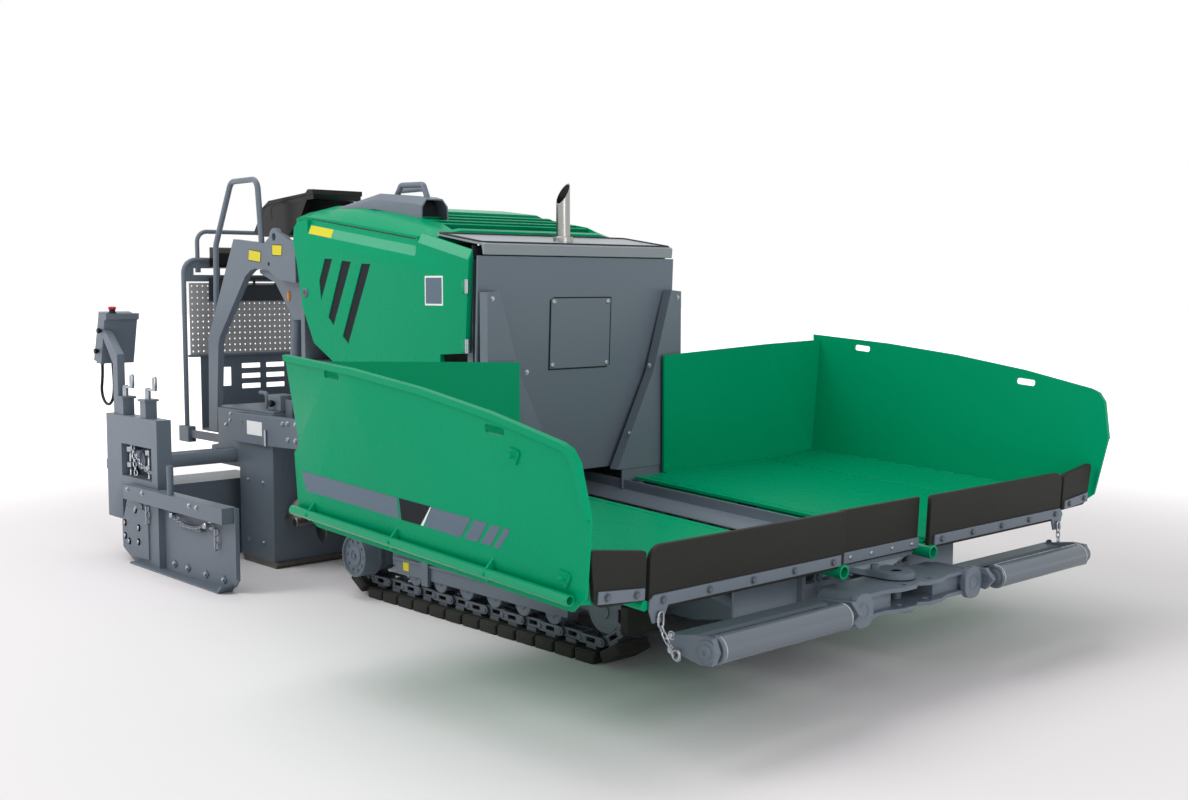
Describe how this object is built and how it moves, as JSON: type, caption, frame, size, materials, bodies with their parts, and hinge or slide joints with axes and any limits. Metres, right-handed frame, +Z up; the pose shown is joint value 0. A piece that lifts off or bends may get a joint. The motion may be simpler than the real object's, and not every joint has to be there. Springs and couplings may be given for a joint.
{
  "type": "compact tracked asphalt paver",
  "caption": "Compact tracked asphalt paver with folding hopper wings, push rollers, engine housing, twin augers and an extending screed with side gates.",
  "frame": {"origin": "on the ground below the centre of the whole machine", "axes": "+X forward towards the hopper, +Y left, +Z up"},
  "size_m": [4.8795, 3.1524, 2.062],
  "materials": {
    "black_plastic": "matte",
    "cable_rubber": "matte",
    "chrome": "polished",
    "engine_paint": "matte",
    "flap_rubber": "matte",
    "green_paint": "satin",
    "grey_paint": "satin",
    "stainless_steel": "satin",
    "track_steel": "matte",
    "worn_steel": "worn"
  },
  "bodies": {
    "tractor": {"air_scoop": "grey_paint", "arches": "grey_paint", "auger_case": "grey_paint", "centre_flap": "flap_rubber", "centre_strip": "grey_paint", "chassis": "grey_paint", "console": "black_plastic", "conveyor": "grey_paint", "deflectors": "grey_paint", "engine": "engine_paint", "engine_bay_frame": "grey_paint", "exhaust": "stainless_steel", "feeder_chain": "worn_steel", "final_drives": "grey_paint", "front_panel": "grey_paint", "handrails": "grey_paint", "hood_top": "green_paint", "left_track": "track_steel", "lid": "grey_paint", "right_track": "track_steel", "track_frames": "grey_paint"},
    "left_wing": {"left_wing": "green_paint", "left_wing_flaps": "flap_rubber", "left_flap_strips": "grey_paint"},
    "left_extension": {"left_extension": "grey_paint", "left_spindle_cranks": "chrome", "left_control_panel": "grey_paint"},
    "left_end_gate": {"left_end_gate": "grey_paint"},
    "left_side_door": {"left_side_door": "green_paint"},
    "left_push_roller": {"left_push_roller": "grey_paint"},
    "left_auger": {"left_auger": "worn_steel"},
    "left_wing_cylinder": {"left_wing_cylinder": "grey_paint"},
    "left_wing_cylinder_rod": {"left_wing_cylinder_rod": "chrome"},
    "left_lift_cylinder": {"left_lift_cylinder": "grey_paint"},
    "left_lift_cylinder_rod": {"left_lift_cylinder_rod": "chrome"},
    "right_wing": {"right_wing": "green_paint", "right_wing_flaps": "flap_rubber", "right_flap_strips": "grey_paint"},
    "right_extension": {"right_extension": "grey_paint", "right_spindle_cranks": "chrome", "right_control_panel": "grey_paint", "right_panel_cable": "cable_rubber"},
    "right_end_gate": {"right_end_gate": "grey_paint"},
    "right_side_door": {"right_side_door": "green_paint"},
    "right_push_roller": {"right_push_roller": "grey_paint"},
    "right_auger": {"right_auger": "worn_steel"},
    "right_wing_cylinder": {"right_wing_cylinder": "grey_paint"},
    "right_wing_cylinder_rod": {"right_wing_cylinder_rod": "chrome"},
    "right_lift_cylinder": {"right_lift_cylinder": "grey_paint"},
    "right_lift_cylinder_rod": {"right_lift_cylinder_rod": "chrome"},
    "screed": {"screed_body": "grey_paint", "screed_sole": "worn_steel", "platform": "grey_paint", "guard_rails": "grey_paint", "guard_panel": "grey_paint", "rear_wall": "grey_paint", "tow_arms": "grey_paint", "tool_box": "black_plastic"},
    "push_beam": {"push_beam": "grey_paint"}
  },
  "joints": [
    {"name": "left_wing_fold", "type": "hinge", "parent": "tractor", "child": "left_wing", "pos_m": [1.39601, 0.275, 0.51614], "axis": [0.9988, 0, -0.0499], "range_deg": [0, 40]},
    {"name": "left_wing_cylinder_swing", "type": "hinge", "parent": "tractor", "child": "left_wing_cylinder", "pos_m": [1.84038, 0.372, 0.3], "axis": [0.9988, 0, -0.0499], "range_deg": [0, 35.3]},
    {"name": "left_wing_cylinder_stroke", "type": "slide", "parent": "left_wing_cylinder", "child": "left_wing_cylinder_rod", "axis": [0.0227, 0.8909, 0.4537], "range_m": [0, 0.143]},
    {"name": "left_side_door", "type": "hinge", "parent": "tractor", "child": "left_side_door", "pos_m": [0.47, 0.606, 1.4], "axis": [0, 0, -1], "range_deg": [0, 90]},
    {"name": "left_push_roller", "type": "hinge", "parent": "push_beam", "child": "left_push_roller", "pos_m": [2.37, 0.776, 0.375], "axis": [0, 1, 0], "continuous": true},
    {"name": "left_auger", "type": "hinge", "parent": "tractor", "child": "left_auger", "pos_m": [-1.075, 0.3, 0.262], "axis": [0, 1, 0], "continuous": true},
    {"name": "left_lift_cylinder_swing", "type": "hinge", "parent": "tractor", "child": "left_lift_cylinder", "pos_m": [-1.12, 0.488, 1.44], "axis": [0, 1, 0], "range_deg": [-0.3, 0.42]},
    {"name": "left_lift_cylinder_stroke", "type": "slide", "parent": "left_lift_cylinder", "child": "left_lift_cylinder_rod", "axis": [-0.1215, 0, -0.9926], "range_m": [-0.135, 0]},
    {"name": "left_extension_slide", "type": "slide", "parent": "screed", "child": "left_extension", "axis": [0, 1, 0], "range_m": [-0.35, 0.03]},
    {"name": "left_end_gate_lift", "type": "slide", "parent": "left_extension", "child": "left_end_gate", "axis": [0, 0, 1], "range_m": [0, 0.1]},
    {"name": "right_wing_fold", "type": "hinge", "parent": "tractor", "child": "right_wing", "pos_m": [1.39601, -0.275, 0.51614], "axis": [-0.9988, 0, 0.0499], "range_deg": [0, 40]},
    {"name": "right_wing_cylinder_swing", "type": "hinge", "parent": "tractor", "child": "right_wing_cylinder", "pos_m": [1.84038, -0.372, 0.3], "axis": [-0.9988, 0, 0.0499], "range_deg": [0, 35.3]},
    {"name": "right_wing_cylinder_stroke", "type": "slide", "parent": "right_wing_cylinder", "child": "right_wing_cylinder_rod", "axis": [0.0227, -0.8909, 0.4537], "range_m": [0, 0.143]},
    {"name": "right_side_door", "type": "hinge", "parent": "tractor", "child": "right_side_door", "pos_m": [0.47, -0.606, 1.4], "axis": [0, 0, 1], "range_deg": [0, 90]},
    {"name": "right_push_roller", "type": "hinge", "parent": "push_beam", "child": "right_push_roller", "pos_m": [2.37, -0.776, 0.375], "axis": [0, 1, 0], "continuous": true},
    {"name": "right_auger", "type": "hinge", "parent": "tractor", "child": "right_auger", "pos_m": [-1.075, -0.3, 0.262], "axis": [0, 1, 0], "continuous": true},
    {"name": "right_lift_cylinder_swing", "type": "hinge", "parent": "tractor", "child": "right_lift_cylinder", "pos_m": [-1.12, -0.488, 1.44], "axis": [0, 1, 0], "range_deg": [-0.3, 0.42]},
    {"name": "right_lift_cylinder_stroke", "type": "slide", "parent": "right_lift_cylinder", "child": "right_lift_cylinder_rod", "axis": [-0.1215, 0, -0.9926], "range_m": [-0.135, 0]},
    {"name": "right_extension_slide", "type": "slide", "parent": "screed", "child": "right_extension", "axis": [0, -1, 0], "range_m": [-0.35, 0.03]},
    {"name": "right_end_gate_lift", "type": "slide", "parent": "right_extension", "child": "right_end_gate", "axis": [0, 0, 1], "range_m": [0, 0.1]},
    {"name": "screed_lift", "type": "hinge", "parent": "tractor", "child": "screed", "pos_m": [0.33, 0, 0.76], "axis": [0, 1, 0], "range_deg": [0, 5]},
    {"name": "push_beam_swing", "type": "hinge", "parent": "tractor", "child": "push_beam", "pos_m": [2.25, 0, 0.375], "axis": [0, 0, 1], "range_deg": [-6, 6]}
  ],
  "couplings": [
    {"joint": "left_wing_cylinder_swing", "follows": "left_wing_fold", "ratio": 0.86891},
    {"joint": "left_wing_cylinder_stroke", "follows": "left_wing_fold", "m_per_rad": 0.2023},
    {"joint": "left_lift_cylinder_swing", "follows": "screed_lift", "ratio": 0.02476},
    {"joint": "left_lift_cylinder_stroke", "follows": "screed_lift", "m_per_rad": -1.5233},
    {"joint": "right_wing_cylinder_swing", "follows": "right_wing_fold", "ratio": 0.86891},
    {"joint": "right_wing_cylinder_stroke", "follows": "right_wing_fold", "m_per_rad": 0.2023},
    {"joint": "right_lift_cylinder_swing", "follows": "screed_lift", "ratio": 0.02476},
    {"joint": "right_lift_cylinder_stroke", "follows": "screed_lift", "m_per_rad": -1.5233}
  ]
}
